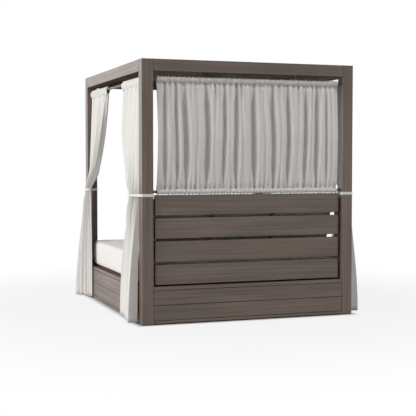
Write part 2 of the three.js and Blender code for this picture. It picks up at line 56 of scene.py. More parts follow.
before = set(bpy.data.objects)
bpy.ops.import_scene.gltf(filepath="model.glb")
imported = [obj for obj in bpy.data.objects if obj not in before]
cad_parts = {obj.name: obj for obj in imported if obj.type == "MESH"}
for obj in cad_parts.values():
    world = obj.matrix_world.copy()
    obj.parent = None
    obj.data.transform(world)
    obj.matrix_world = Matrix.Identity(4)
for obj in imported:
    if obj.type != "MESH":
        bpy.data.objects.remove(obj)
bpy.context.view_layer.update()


def middle_of(node):
    low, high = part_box(node)
    return (low + high) / 2


def both_halves(half):
    """A cross-section, as (rise, distance out), from its lower half."""
    return half + tuple((-rise, out) for rise, out in reversed(half))


# Places read from the solids, in metres
POST_LOW, POST_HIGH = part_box("post_back_left")
HALF_WIDTH = POST_HIGH.x
INNER_Y = POST_LOW.y
POST_SIZE = POST_HIGH.x - POST_LOW.x
SIDE_ROD = middle_of("curtain_rod_left")
UPPER_ROD = middle_of("curtain_rod_back_upper")
LOWER_ROD = middle_of("curtain_rod_back_lower")
WAIST_Z = middle_of("tie_band_back_left").z
SIDES = (("left", 1), ("right", -1))
ENDS = (("back", 1), ("front", -1))
CORNERS = [(end, side, end_sign, side_sign) for side, side_sign in SIDES for end, end_sign in ENDS]
# The walls of the base and the roof, as (name, axis across the wall, sign of its outer side)
WALLS = (("back", 1, 1), ("front", 1, -1), ("left", 0, 1), ("right", 0, -1))
MERGE_DISTANCE = 0.00001

# What the names of the timber pieces start with
TIMBER = ("back_slat", "base_rail", "deck", "lower_plank", "post", "roof", "sill", "slat_batten")
TIMBER += ("top_beam", "upper_plank")
# The boards' tones, and how far the grain moves from one tone to the next
BOARD_SHADES = (0.96, 1.0, 1.045)
GRAIN_SHIFT = (0.37, 0.61, 0.23)
# How far the middle of a dark strip of painted shade lies behind the face of the boards, and its width
STRIP_SETBACK = 0.0026
STRIP_WIDTH = 0.0042
# The end of a turned rod with its flange, as (radius, distance from the end)
ROD_END = ((0.0, 0.0), (0.0140, 0.0), (0.0150, 0.001), (0.0150, 0.003), (0.0140, 0.004), (0.0110, 0.004))

# How the threads lie in hung cloth and in padded covers, as (directions, coordinate, width of the slubs)
HUNG_WEAVE = ("XY", "UV", 0.0016)
COVER_WEAVE = ("XYZ", "Object", 0.003)
POINTS_PER_GATHER = 6

# How the side curtains hang, in metres: reach runs along the side from the post, out runs away from the side
CURTAIN_START = 0.008
CURTAIN_REACH = 0.650
WAIST_START = 0.030
WAIST_REACH = 0.140
WAIST_DEPTH = 0.028
WAIST_HOLD = 0.018
HEM_Z = 0.014
HEM_EDGE_OUT = 0.014
HEM_DEPTH = 0.009
HEM_CORNER_SHARE = 0.2
HEM_RETURN_SHARE = 0.85
LEADING_POWER = 2.1
SKIRT_ROWS = 26
SKIRT_PUFF = 0.012
SWAG_ROWS = 44
SWAG_DEPTH = 0.017
SWAG_PUFF = 0.010
HEADER_DEPTH = 0.008
HEADER_DROP = 0.052
LOOSEN_SHARE = 0.25
TURN_SHARE = 0.72
TURN_DEPTH = 0.034
FOLD_SHIFT = 1.9
# The small crimps where a side curtain is drawn in: how many, their greatest height, the share of the
# header's length that a row may keep by them, and how far all of them run in and out per unit of height
CRIMPS = 13
CRIMP_HEIGHT = 0.0080
CRIMP_SHARE = 0.96
CRIMP_TRAVEL = 36
# For each end of the daybed: how far out the waist, the hem's corner (flare) and the hem's end are, how far
# along the side the hem reaches, how soon skirt and swag open, and whether the leading part turns inwards
HANG_FIELDS = ("waist_out", "flare", "end_out", "reach", "skirt_power", "swag_power", "turned")
HANGS = {
    "back": dict(zip(HANG_FIELDS, (0.025, 0.092, 0.036, 0.470, 1.65, 3.1, 0))),
    "front": dict(zip(HANG_FIELDS, (0.006, 0.126, 0.012, 0.215, 1.65, 2.2, 1))),
}
# The back curtain on the right stands out further below its band
FULLER_SKIRT = {"flare": 0.110, "skirt_power": 1.75}
# The sleeve round a side rod and the ruffle over it, as (rise over the rod, distance out from it)
HEADING = (
    (-0.046, 0.0035), (-0.036, 0.0100), (-0.020, 0.0150), (-0.003, 0.0162), (0.007, 0.0140),
    (0.0130, 0.0070), (0.0155, 0.0035), (0.0195, 0.0042), (0.0225, 0.0036), (0.0245, 0.0015),
)

# The folds of the back curtain, as (place along X, half width, depth), and the shallow furrows between them
BACK_FOLDS = (
    (0.720, 0.021, 0.041), (0.622, 0.019, 0.039), (0.548, 0.026, 0.053), (0.367, 0.025, 0.053),
    (0.220, 0.019, 0.041), (0.113, 0.022, 0.046), (-0.042, 0.025, 0.052), (-0.212, 0.024, 0.049),
    (-0.345, 0.021, 0.046), (-0.503, 0.020, 0.041), (-0.608, 0.022, 0.046), (-0.697, 0.013, 0.025),
)
BACK_FURROWS = (
    (0.668, 0.009, 0.006), (0.455, 0.010, 0.009), (0.300, 0.009, 0.008), (0.165, 0.008, 0.006),
    (0.060, 0.010, 0.010), (-0.125, 0.010, 0.010), (-0.270, 0.008, 0.006), (-0.430, 0.010, 0.008),
    (-0.560, 0.008, 0.006), (-0.752, 0.009, 0.007),
)
# How far the back curtain swells out, as (share of its height from the top, distance)
BACK_SWELL = ((0, 0), (0.36, 0.026), (0.51, 0.0325), (0.60, 0.0272), (0.635, 0.028), (0.80, 0.0165), (1, 0))
BACK_ROWS = 60
BACK_HALF_LENGTH = 0.791
BACK_SIDE_DRAW = 0.004
# The sleeves of the back curtain: from which angle to which they run round a rod, in degrees, how many rows
# they have, their radius, and how far from the middle of the rod the panel starts
SLEEVE_TURN = (-52, 262)
SLEEVE_ROWS = 15
SLEEVE_RADIUS = 0.0182
SLEEVE_LEAVES = 0.022

# The two turns of a tie band, one over the other, and the keeper loop round them, as (rise, distance out)
BAND_SECTION = both_halves(
    ((-0.0112, -0.0009), (-0.0096, 0.0002), (-0.0060, 0.0005), (-0.0022, 0.0002), (-0.0005, -0.0011))
)
KEEPER_SECTION = both_halves(((-0.0128, 0.0002), (-0.0128, 0.0022), (-0.006, 0.0032)))
# The band's distance from post and cloth, its turn at the post's corners, and its slack round the bundle
BAND_OFFSET = 0.0022
BAND_CORNER = 0.005
BAND_SLACK = 0.006
BAND_POINTS = 241
BUNDLE_HALF_DEPTH = 0.030

# For how many frames the padded covers swell
SWELL_FRAMES = 20
# The back cushions, in metres and degrees. The middle one is taller
CUSHION_WIDTH = 0.549
CUSHION_HEIGHTS = {"left": 0.478, "middle": 0.506, "right": 0.478}
CUSHION_DEPTH = 0.160
CUSHION_LEAN = 17
CUSHION_CLEARANCE = 0.001

# The lamps, as (elevation, turn from the daybed's left towards its back, spread), in degrees
LAMPS = {"side_light": (20, 7, 64), "front_light": (7, -74, 96), "back_light": (42, 141, 12)}
LAMP_COLOUR = (1.0, 0.985, 0.97)
LAMP_DISTANCE = 6
# The floor's own grey, the distances from its middle between which its white rises, and from and to how much
FLOOR_GREY = 0.55
FLOOR_FADE = (1.4, 4.0)
FLOOR_WHITE = (0.84, 1.0)
# How far round the daybed the floor stays without white of its own
CONTACT_SHADOW = 0.06


def colour_field(name, description, default):
    return FloatVectorProperty(
        name=name, description=description, subtype="COLOR", min=0, max=1, default=default
    )


def number_field(name, description, low, high, default, **kind):
    return FloatProperty(name=name, description=description, min=low, max=high, default=default, **kind)


class TimberSettings(bpy.types.PropertyGroup):
    """Stained timber of the frame, the base, the roof and the slats"""

    light: colour_field("Light Grain", "Colour of the wood between its dark streaks", (0.196, 0.148, 0.120))
    dark: colour_field("Dark Grain", "Colour of the dark streaks of the grain", (0.074, 0.056, 0.045))
    streak: number_field(
        "Streak Width", "Width of the broad streaks across the grain", 0.002, 0.1, 0.011, unit="LENGTH"
    )
    edge: number_field(
        "Edge Rounding", "Rounding of the sharp edges of the boards", 0, 0.01, 0.0015, unit="LENGTH"
    )


class CurtainSettings(bpy.types.PropertyGroup):
    """Side curtains, back curtain and tie bands"""

    dye: colour_field("Curtain Colour", "Colour of the curtain cloth", (0.800, 0.785, 0.765))
    thickness: number_field(
        "Cloth Thickness", "Thickness of one layer of curtain cloth", 0.0005, 0.004, 0.0014, unit="LENGTH"
    )
    thread: number_field(
        "Thread Spacing", "Distance from one thread to the next", 0.0003, 0.004, 0.0009, unit="LENGTH"
    )
    sheer: number_field(
        "Sheerness", "Share of the light that each face lets through", 0, 0.9, 0.08, subtype="FACTOR"
    )
    folds: IntProperty(
        name="Side Folds",
        description="Number of main folds across each side curtain",
        min=3,
        max=9,
        default=5,
    )
    ruffles: IntProperty(
        name="Ruffles per Metre",
        description="Number of small gathers on each metre of a rod",
        min=20,
        max=80,
        default=36,
    )


class PaddingSettings(bpy.types.PropertyGroup):
    """Mattress and back cushions"""

    mattress_dye: colour_field("Mattress Colour", "Colour of the mattress cover", (0.815, 0.800, 0.785))
    cushion_dye: colour_field("Cushion Colour", "Colour of the cushions' covers", (0.780, 0.765, 0.748))
    mattress_swell: number_field(
        "Mattress Swell", "How far the foam may push the cover out", 0.001, 0.03, 0.011, unit="LENGTH"
    )
    cushion_swell: number_field(
        "Cushion Swell", "How far the filling may push the cover out", 0.005, 0.06, 0.034, unit="LENGTH"
    )
    piping: number_field(
        "Piping Radius", "Radius of the piping on cushions and mattress", 0.001, 0.008, 0.0042, unit="LENGTH"
    )
    ears: number_field(
        "Cushion Ears", "Share by which edges draw in between corners", 0, 0.15, 0.07, subtype="FACTOR"
    )


class StageSettings(bpy.types.PropertyGroup):
    """Camera, lamps and surround"""

    camera_place: FloatVectorProperty(
        name="Camera Place",
        description="Where the camera stands",
        subtype="TRANSLATION",
        unit="LENGTH",
        default=(3.0262, 8.5218, 1.2919),
    )
    camera_angles: FloatVectorProperty(
        name="Camera Angles",
        description="Tilt, roll and heading of the camera",
        subtype="EULER",
        default=(math.radians(87.346), 0, math.radians(160.534)),
    )
    lens: number_field("Focal Length", "Focal length in millimetres on a 36 mm sensor", 20, 200, 85.96)
    side_light: number_field("Side Light", "Strength of the soft light from the daybed's left", 0, 9, 2.9)
    front_light: number_field("Front Light", "Strength of the low light from the front and left", 0, 9, 1.6)
    back_light: number_field("Back Light", "Strength of the light from behind and right", 0, 9, 0.9)
    surround: number_field("Surround", "Strength of the even light from all round", 0, 2, 0.20)


# Node trees


def add_node(tree, kind, inputs=None, **settings):
    """Adds a node, sets its own settings, and links or sets its inputs by name or number."""
    node = tree.nodes.new(kind)
    for name, value in settings.items():
        setattr(node, name, value)
    for name, value in (inputs or {}).items():
        if isinstance(value, bpy.types.NodeSocket):
            tree.links.new(value, node.inputs[name])
        else:
            node.inputs[name].default_value = value
    return node


def new_material(name, roughness, **constants):
    """A material with its main shader, whose constant sockets are set directly."""
    material = bpy.data.materials.new(name)
    material.use_nodes = True
    tree = material.node_tree
    shader = tree.nodes["Principled BSDF"]
    shader.inputs["Roughness"].default_value = roughness
    for socket, value in constants.items():
        shader.inputs[socket.replace("_", " ")].default_value = value
    return material, tree, shader


def colour_between(tree, share, first, second):
    """A colour that runs from the first to the second with the share."""
    mix = add_node(tree, "ShaderNodeMix", data_type="RGBA")
    tree.links.new(share, mix.inputs[0])
    mix.inputs[6].default_value = (*first, 1)
    mix.inputs[7].default_value = (*second, 1)
    return mix.outputs[2]


def span(tree, value, low, high, new_low, new_high, **settings):
    """The value moved from one range to another, and kept inside it."""
    inputs = {"Value": value, 1: low, 2: high, 3: new_low, 4: new_high}
    return add_node(tree, "ShaderNodeMapRange", inputs, **settings).outputs[0]


def calculate(tree, operation, *values, kind="ShaderNodeMath"):
    return add_node(tree, kind, dict(enumerate(values)), operation=operation).outputs[0]


def weighted_sum(tree, first, first_weight, second, second_weight):
    first = calculate(tree, "MULTIPLY", first, first_weight)
    second = calculate(tree, "MULTIPLY", second, second_weight)
    return calculate(tree, "ADD", first, second)


def noise(tree, place, scale, detail, roughness=0.5):
    inputs = {"Vector": place, "Scale": scale, "Detail": detail, "Roughness": roughness}
    return add_node(tree, "ShaderNodeTexNoise", inputs).outputs[0]


def bump(tree, shader, height, strength, distance):
    inputs = {"Height": height, "Strength": strength, "Distance": distance}
    relief = add_node(tree, "ShaderNodeBump", inputs)
    tree.links.new(relief.outputs[0], shader.inputs["Normal"])


def mix_shaders(tree, share, first, second):
    """Puts a mix of two shaders on the material's surface."""
    mixed = add_node(tree, "ShaderNodeMixShader", {0: share, 1: first, 2: second})
    tree.links.new(mixed.outputs[0], tree.nodes["Material Output"].inputs["Surface"])


def timber_material(settings, axis, shade_number):
    """Stained timber: broad and fine streaks along one axis, with a slow change of tone over the board.

    Faces that look down aren't sealed and those that look up have weathered, so both have no gloss."""
    name = f"stained_timber_{'xyz'[axis]}_{shade_number}"
    if name in bpy.data.materials:
        return bpy.data.materials[name]
    material, tree, shader = new_material(name, 0.5, Specular_IOR_Level=0.5)
    shade = BOARD_SHADES[shade_number]
    place = add_node(tree, "ShaderNodeTexCoord").outputs["Object"]

    def streaks(width, length, detail):
        scale = [1 / width] * 3
        scale[axis] = 1 / length
        shift = [shade_number * step for step in GRAIN_SHIFT]
        mapped = add_node(tree, "ShaderNodeMapping", {"Vector": place, "Scale": scale, "Location": shift})
        return noise(tree, mapped.outputs[0], scale=1, detail=detail, roughness=0.55)

    broad = streaks(settings.streak, length=0.9, detail=3)
    fine = streaks(settings.streak / 5, length=0.35, detail=4)
    tone = streaks(0.16, length=0.7, detail=1)
    grain = weighted_sum(tree, broad, 0.55, fine, 0.45)
    share = span(tree, weighted_sum(tree, grain, 0.72, tone, 0.28), 0.36, 0.64, 0, 1)
    light = [channel * shade for channel in settings.light]
    dark = [channel * shade for channel in settings.dark]
    tree.links.new(colour_between(tree, share, dark, light), shader.inputs["Base Color"])
    normal = add_node(tree, "ShaderNodeNewGeometry").outputs["Normal"]
    upward = add_node(tree, "ShaderNodeSeparateXYZ", {0: normal}).outputs["Z"]
    gloss = span(tree, calculate(tree, "ABSOLUTE", upward), 0.6, 0.9, 0.5, 0.0)
    tree.links.new(gloss, shader.inputs["Specular IOR Level"])
    tree.links.new(span(tree, grain, 0.35, 0.65, 0.48, 0.36), shader.inputs["Roughness"])
    bump(tree, shader, grain, strength=0.35, distance=0.0009)
    return material


def speckled_material(name, roughness, scale, detail, colours, relief, shine=None, **constants):
    """A hard finish with a fine speckle in its colour and its surface.

    The relief is (strength, distance). Shine is the range of roughness, where the speckle changes it too."""
    material, tree, shader = new_material(name, roughness, **constants)
    place = add_node(tree, "ShaderNodeTexCoord").outputs["Object"]
    speckle = noise(tree, place, scale, detail)
    share = span(tree, speckle, 0.3, 0.7, 0, 1)
    tree.links.new(colour_between(tree, share, *colours), shader.inputs["Base Color"])
    if shine:
        tree.links.new(span(tree, speckle, 0.3, 0.7, *shine), shader.inputs["Roughness"])
    bump(tree, shader, speckle, *relief)
    return material


def groove_shade_material():
    """Dull near-black colour, painted as the shade in the grooves between the boards, with a fine grain."""
    colours = ((0.007, 0.006, 0.005), (0.015, 0.013, 0.011))
    return speckled_material(
        "dark_sealant",
        0.85,
        scale=300,
        detail=2,
        colours=colours,
        relief=(0.3, 0.0002),
        Specular_IOR_Level=0.1,
    )


def metal_material():
    """Painted metal of the rods and hangers, with a fine orange-peel in the paint."""
    colours = ((0.105, 0.083, 0.070), (0.135, 0.109, 0.093))
    return speckled_material(
        "painted_metal",
        0.45,
        scale=420,
        detail=2,
        colours=colours,
        relief=(0.2, 0.0002),
        shine=(0.38, 0.52),
        Metallic=0.3,
    )


def foot_material():
    """Black moulded plastic with a dull grain."""
    colours = ((0.012, 0.011, 0.010), (0.024, 0.022, 0.020))
    relief = (0.4, 0.0003)
    return speckled_material("moulded_plastic", 0.7, scale=260, detail=3, colours=colours, relief=relief)


def threads(tree, place, direction, spacing):
    """Ridges of thread, a spacing apart along one direction of the coordinate."""
    inputs = {"Vector": place, "Scale": math.pi / 10 / spacing, "Distortion": 0.0}
    settings = {"wave_type": "BANDS", "bands_direction": direction, "wave_profile": "SIN"}
    return add_node(tree, "ShaderNodeTexWave", inputs, **settings).outputs["Fac"]


def cloth_material(name, colour, spacing, weave, tone_size, sheer=0):
    """Woven cloth: crossing threads, thicker slubs and a slow change of tone.

    Sheer is the share of light that each face of the cloth lets through."""
    directions, coordinate, slub = weave
    fuzz = {"Sheen_Weight": 0.25, "Sheen_Roughness": 0.5, "Specular_IOR_Level": 0.25}
    material, tree, shader = new_material(name, 0.88, **fuzz)
    place = add_node(tree, "ShaderNodeTexCoord").outputs[coordinate]
    ridges = threads(tree, place, directions[0], spacing)
    for direction in directions[1:]:
        ridges = calculate(tree, "MAXIMUM", ridges, threads(tree, place, direction, spacing))
    scale = (1 / slub, 1 / (18 * slub), 1 / slub)
    stretched = add_node(tree, "ShaderNodeMapping", {"Vector": place, "Scale": scale}).outputs[0]
    slubs = noise(tree, stretched, scale=1, detail=3)
    tone = noise(tree, place, scale=1 / tone_size, detail=2)
    height = calculate(tree, "ADD", ridges, slubs)
    share = span(tree, weighted_sum(tree, height, 0.3, tone, 0.5), 0.45, 0.85, 0, 1)
    deep = [channel * 0.93 for channel in colour]
    dyed = colour_between(tree, share, deep, colour)
    tree.links.new(dyed, shader.inputs["Base Color"])
    bump(tree, shader, height, strength=0.25, distance=0.0004)
    if sheer:
        through = add_node(tree, "ShaderNodeBsdfTranslucent", {"Color": dyed}).outputs[0]
        mix_shaders(tree, sheer, shader.outputs[0], through)
    return material


def curtain_material(name, settings):
    return cloth_material(name, settings.dye, settings.thread, HUNG_WEAVE, 0.4, settings.sheer)


# Making and finishing meshes


def between(first, second, share):
    return first + (second - first) * share


def eased(share):
    share = np.clip(share, 0, 1)
    return share * share * (3 - 2 * share)


def new_piece(name, mesh, material):
    piece = bpy.data.objects.new(name, mesh)
    bpy.context.scene.collection.objects.link(piece)
    mesh.materials.append(material)
    return piece


def finished_mesh(name, shape):
    mesh = bpy.data.meshes.new(name)
    shape.to_mesh(mesh)
    shape.free()
    return mesh


def points_of(mesh):
    flat = np.zeros(len(mesh.vertices) * 3)
    mesh.vertices.foreach_get("co", flat)
    return flat.reshape(-1, 3)


def set_points(mesh, points):
    mesh.vertices.foreach_set("co", np.asarray(points, np.float32).ravel())
    mesh.update()


def add_modifier(piece, kind, **settings):
    modifier = piece.modifiers.new(kind.title(), kind)
    for name, value in settings.items():
        setattr(modifier, name, value)


def apply_modifiers(piece):
    """Makes what the modifiers show the piece's own mesh."""
    graph = bpy.context.evaluated_depsgraph_get()
    made = bpy.data.meshes.new_from_object(piece.evaluated_get(graph))
    old = piece.data
    piece.modifiers.clear()
    piece.data = made
    bpy.data.meshes.remove(old)


def added_up(steps):
    return np.concatenate([[0], np.cumsum(steps)])


def evenly_spaced(points, count, endpoint=True):
    """A number of points at even distances along the closed line through the points."""
    closed = np.vstack([points, points[:1]])
    lengths = added_up(np.linalg.norm(np.diff(closed, axis=0), axis=1))
    wanted = np.linspace(0, lengths[-1], count, endpoint=endpoint)
    return np.stack([np.interp(wanted, lengths, column) for column in closed.T], axis=1)


def cloth_piece(name, material, rows, thickness, closed=False):
    """A sheet of cloth from rows of points, each an array of places along it, and its flat size.

    The cut is as wide as the longest row. Its UV map is in metres, and its thickness lies to both sides."""
    count_rows, count_columns = rows.shape[0] - 1, rows.shape[1] - 1
    width = np.linalg.norm(np.diff(rows, axis=1), axis=2).sum(axis=1).max()
    shape = bmesh.new()
    bmesh.ops.create_grid(shape, x_segments=count_columns, y_segments=count_rows, size=1)
    mesh = finished_mesh(name, shape)
    shares = (points_of(mesh)[:, :2] + 1) / 2
    column = np.rint(shares[:, 0] * count_columns).astype(int)
    row = np.rint(shares[:, 1] * count_rows).astype(int)
    set_points(mesh, rows[row, column])
    heights = added_up(np.linalg.norm(np.diff(rows, axis=0), axis=2).mean(axis=1))
    corners = np.zeros(len(mesh.loops), int)
    mesh.loops.foreach_get("vertex_index", corners)
    places = np.stack([shares[corners, 0] * width, heights[row[corners]]], axis=1)
    mesh.uv_layers.new(name="UVMap").data.foreach_set("uv", places.astype(np.float32).ravel())
    if closed:
        seam = bmesh.new()
        seam.from_mesh(mesh)
        bmesh.ops.remove_doubles(seam, verts=seam.verts, dist=MERGE_DISTANCE)
        seam.to_mesh(mesh)
        seam.free()
    mesh.shade_smooth()
    piece = new_piece(name, mesh, material)
    add_modifier(piece, "SOLIDIFY", thickness=thickness, offset=0)
    apply_modifiers(piece)
    return piece, (width, heights[-1])


def cord_along(name, material, points, radius):
    """A corded seam: a round tube along a closed line of points."""
    curve = bpy.data.curves.new(name, "CURVE")
    curve.dimensions = "3D"
    curve.bevel_depth = radius
    curve.bevel_resolution = 2
    line = curve.splines.new("POLY")
    line.points.add(len(points) - 1)
    for point, place in zip(line.points, points):
        point.co = (*place, 1)
    line.use_cyclic_u = True
    holder = bpy.data.objects.new(name, curve)
    mesh = bpy.data.meshes.new_from_object(holder)
    bpy.data.objects.remove(holder)
    mesh.shade_smooth()
    return new_piece(name, mesh, material)


def finish_cad(name, material):
    """Gives a CAD node its material on its object's slot."""
    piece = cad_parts[name]
    if not piece.material_slots:
        piece.data.materials.append(material)
    piece.material_slots[0].link = "OBJECT"
    piece.material_slots[0].material = material
    return piece


# Folds


def wave(cycles, share, phase=0.0):
    return np.sin(2 * np.pi * cycles * share + phase)


def part_way(share, low, high):
    """How far the share has come on its way from low to high, from 0 to 1."""
    return np.clip((share - low) / (high - low), 0, 1)


def gathers(share, count, phase):
    """Small irregular gathers, from -1 to 1, along a share of the cloth's width."""
    drift = 0.9 * wave(3.1, share, phase) + 0.5 * wave(7.3, share, 2 * phase)
    strength = 0.72 + 0.28 * wave(count / 4.3, share, 1.7 * phase)
    return strength * wave(count, share, drift)


def side_fold(share, folds, phase):
    """The main folds of a side curtain, from -1 to 1, with round ridges and sharper valleys."""
    moved = share + 0.012 * wave(1.7, share, phase) * np.sin(np.pi * share)
    folded = (wave(folds, moved) + 0.2 * wave(2 * folds + 1, share)) / 1.2
    return folded + 0.28 * (1 - folded * folded)


def bundle(share):
    """How thick the gathered cloth is at each share of its width, round from edge to edge."""
    return np.sqrt(np.clip(1 - (2 * share - 1) ** 2, 0, 1))


def waist_line(share, hang):
    """Reach and out of the gathered waist: a tuck behind the post, then the bundle inside the band."""
    tuck = part_way(share, 0, HEM_CORNER_SHARE)
    rest = part_way(share, HEM_CORNER_SHARE, 1)
    reach = between(0.012, 0.018, tuck) + (WAIST_REACH - 0.018) * rest
    out = between(-0.016, 0.004, tuck) + (hang["waist_out"] - 0.004) * part_way(rest, 0, 0.3)
    return reach, out


def hem_line(share, hang):
    """Reach and out of the hem: out from the post, back to the side, and a short return."""
    back = HEM_RETURN_SHARE * hang["reach"]
    first = part_way(share, 0, HEM_CORNER_SHARE)
    second = part_way(share, HEM_CORNER_SHARE, HEM_RETURN_SHARE)
    third = part_way(share, HEM_RETURN_SHARE, 1)
    reach = back * second + (hang["reach"] - back) * third
    out = HEM_EDGE_OUT + (hang["flare"] - HEM_EDGE_OUT) * (first - second)
    return reach, out + (hang["end_out"] - HEM_EDGE_OUT) * third


def side_curtain_rows(side, end, hang, settings, phase):
    """The places of a side curtain, row by row from the hem to the ruffle and back down inside the sleeve."""
    header_length = CURTAIN_REACH - CURTAIN_START
    count = settings.ruffles * header_length
    share = np.linspace(0, 1, int(POINTS_PER_GATHER * count))
    fold = side_fold(share, settings.folds, phase)
    rest = part_way(share, HEM_CORNER_SHARE, 1)
    skirt_fold = side_fold(rest, settings.folds - 1, phase) * bundle(rest)
    crimp = wave(CRIMPS, share, 1.1 * wave(2.3, share, phase)) * bundle(rest)
    pleat = gathers(share, 15, 1.3 + phase)
    ruffle = gathers(share, count, 0.4 + phase)
    rows = []

    def add(z, reach, out, crimp_height=CRIMP_HEIGHT):
        """Adds one row. Where it is drawn in, its crimps take up some of the cloth."""
        length = np.hypot(np.diff(reach), np.diff(out)).sum()
        lacking = max((CRIMP_SHARE * header_length) ** 2 - length**2, 0)
        out = out + min(math.sqrt(lacking) / CRIMP_TRAVEL, crimp_height) * crimp
        rows.append(np.stack([side * (HALF_WIDTH + out), end * (INNER_Y - reach), z + 0 * share], axis=1))

    # The skirt, from the hem up to the band
    waist_reach, waist_out = waist_line(share, hang)
    hem_reach, hem_out = hem_line(share, hang)
    power = between(hang["skirt_power"], LEADING_POWER, np.clip(2 * rest, 0, 1))
    for drop in np.linspace(1, 0, SKIRT_ROWS):
        spread = 1 - (1 - drop) ** power
        depth = between(WAIST_DEPTH, HEM_DEPTH, drop**0.6) + SKIRT_PUFF * math.sin(math.pi * min(4 * drop, 1))
        reach = between(waist_reach, hem_reach, spread)
        out = between(waist_out, hem_out, spread) + depth * skirt_fold
        z = between(WAIST_Z - WAIST_HOLD, HEM_Z, drop)
        add(z, reach, out, crimp_height=between(0.0088, 0.0044, min(1.3 * drop, 1)))

    # The swag, from the band up to the header
    swag_bottom = WAIST_Z + WAIST_HOLD
    swag_top = SIDE_ROD.z - HEADER_DROP
    header_reach = between(CURTAIN_START, CURTAIN_REACH, share)
    for climb_share in np.linspace(0, 1, SWAG_ROWS) ** 0.85:
        z = between(swag_bottom, swag_top, climb_share)
        climb = (z - swag_bottom) / (SIDE_ROD.z - swag_bottom)
        grow = 1 - (1 - climb) ** hang["swag_power"]
        reach = between(waist_reach, header_reach, grow)
        turned = hang["turned"] * math.sin(math.pi * climb) ** 0.6
        held = np.minimum(reach, np.interp(TURN_SHARE, share, reach))
        reach = between(reach, held, turned)
        middle = between(waist_out, -POST_SIZE / 2, climb)
        depth = between(WAIST_DEPTH, SWAG_DEPTH, min(climb / LOOSEN_SHARE, 1))
        depth += SWAG_PUFF * math.sin(math.pi * min(5 * climb, 1))
        depth = between(depth, HEADER_DEPTH, climb**4)
        loosened = float(eased(climb / LOOSEN_SHARE))
        main = depth * between(skirt_fold, fold - 0.7, loosened)
        below = swag_top - z
        # The header's pleats and ruffles die away downwards
        small = 0.0046 * pleat * math.exp(-below / 0.20) + 0.0008 * ruffle * math.exp(-below / 0.035)
        inward = TURN_DEPTH * turned * part_way(share, TURN_SHARE, 1)
        add(z, reach, middle + main + small - inward)

    # The sleeve, up outside the rod to the ruffle and down inside it
    for outward, places in ((1, HEADING), (-1, reversed(HEADING))):
        ruffled = outward + 0.20 * ruffle
        for rise, out in places:
            z = SIDE_ROD.z + rise + 0.0022 * ruffle * max(rise, 0) / HEADING[-1][0]
            add(z, header_reach, -POST_SIZE / 2 + out * ruffled + 0.0016 * pleat)
    return np.array(rows)


def back_curtain_rows(settings):
    """The places of the back curtain: the lower sleeve, the folded panel and the upper sleeve."""
    count = settings.ruffles * 2 * BACK_HALF_LENGTH
    share = np.linspace(0, 1, int(POINTS_PER_GATHER * count))
    ruffle = gathers(share, count, 0.8)
    speckle = ruffle + 0.5 * gathers(share, 1.6 * count, 2.9)
    pleat = gathers(share, 37, 2.2)
    x = between(BACK_HALF_LENGTH, -BACK_HALF_LENGTH, share)
    angles = np.radians(np.linspace(*SLEEVE_TURN, SLEEVE_ROWS))
    rows = []

    def add_sleeve(rod, sign, order):
        for angle in order:
            radius = SLEEVE_RADIUS + 0.0074 * speckle * math.sin(2.3 * angle + 1.2) + 0.0012 * pleat
            y = rod.y + radius * math.cos(angle) + 0.002
            z = rod.z + sign * 1.04 * radius * math.sin(angle)
            rows.append(np.stack([x, y, z], axis=1))

    add_sleeve(LOWER_ROD, -1, angles[::-1])
    bottom = LOWER_ROD.z + SLEEVE_LEAVES
    top = UPPER_ROD.z - SLEEVE_LEAVES
    swell_shares, swells = zip(*BACK_SWELL)
    for level in np.linspace(0, 1, BACK_ROWS):
        z = between(bottom, top, level)
        ends = min(z - bottom, top - z)
        open_share = float(eased(ends / 0.20))
        out = between(-0.006, 0.008, float(eased(ends / 0.05)))
        y = out + np.interp(1 - level, swell_shares, swells) + 0 * x
        for place, half, depth in BACK_FOLDS:
            sway = 0.006 * math.sin(5.1 * z + 9 * place)
            width = half * between(0.6, 1.0, open_share)
            hollow = np.exp(-(np.abs((x - place - sway) / width) ** 3.2))
            y -= depth * between(0.35, 1.0, open_share) * hollow
        for place, half, depth in BACK_FURROWS:
            sway = 0.010 * math.sin(4.3 * z + 7 * place)
            y -= depth * np.exp(-(((x - place - sway) / half) ** 2))
        # The pleats and ruffles at both rods die away towards the middle
        y += 0.0105 * pleat * math.exp(-ends / 0.095) + 0.0030 * ruffle * math.exp(-ends / 0.025)
        draw = 1 - BACK_SIDE_DRAW / BACK_HALF_LENGTH * math.sin(math.pi * level)
        rows.append(np.stack([x * draw, UPPER_ROD.y + y, z + 0 * x], axis=1))
    add_sleeve(UPPER_ROD, 1, angles)
    return np.array(rows)


def band_line(side, end, hang, offset):
    """A tight line round a post and the waist of its curtain, the offset away from both."""
    points = []

    def add_arc(reach, out, radius_reach, radius_out, steps):
        for angle in np.linspace(0, 2 * np.pi, steps, endpoint=False):
            away = out + radius_out * math.cos(angle)
            along = reach + radius_reach * math.sin(angle)
            points.append(Vector((side * (HALF_WIDTH + away), end * (INNER_Y - along))))

    for reach in (-BAND_CORNER, BAND_CORNER - POST_SIZE):
        for out in (-BAND_CORNER, BAND_CORNER - POST_SIZE):
            add_arc(reach, out, BAND_CORNER + offset, BAND_CORNER + offset, 16)
    middle = (WAIST_START + WAIST_REACH) / 2
    half_length = (WAIST_REACH - WAIST_START) / 2
    slack = BAND_SLACK + offset
    add_arc(middle, hang["waist_out"], half_length + slack, BUNDLE_HALF_DEPTH + slack, 64)
    outline = np.array([points[number] for number in convex_hull_2d(points)])
    return evenly_spaced(outline, BAND_POINTS)


# Padding


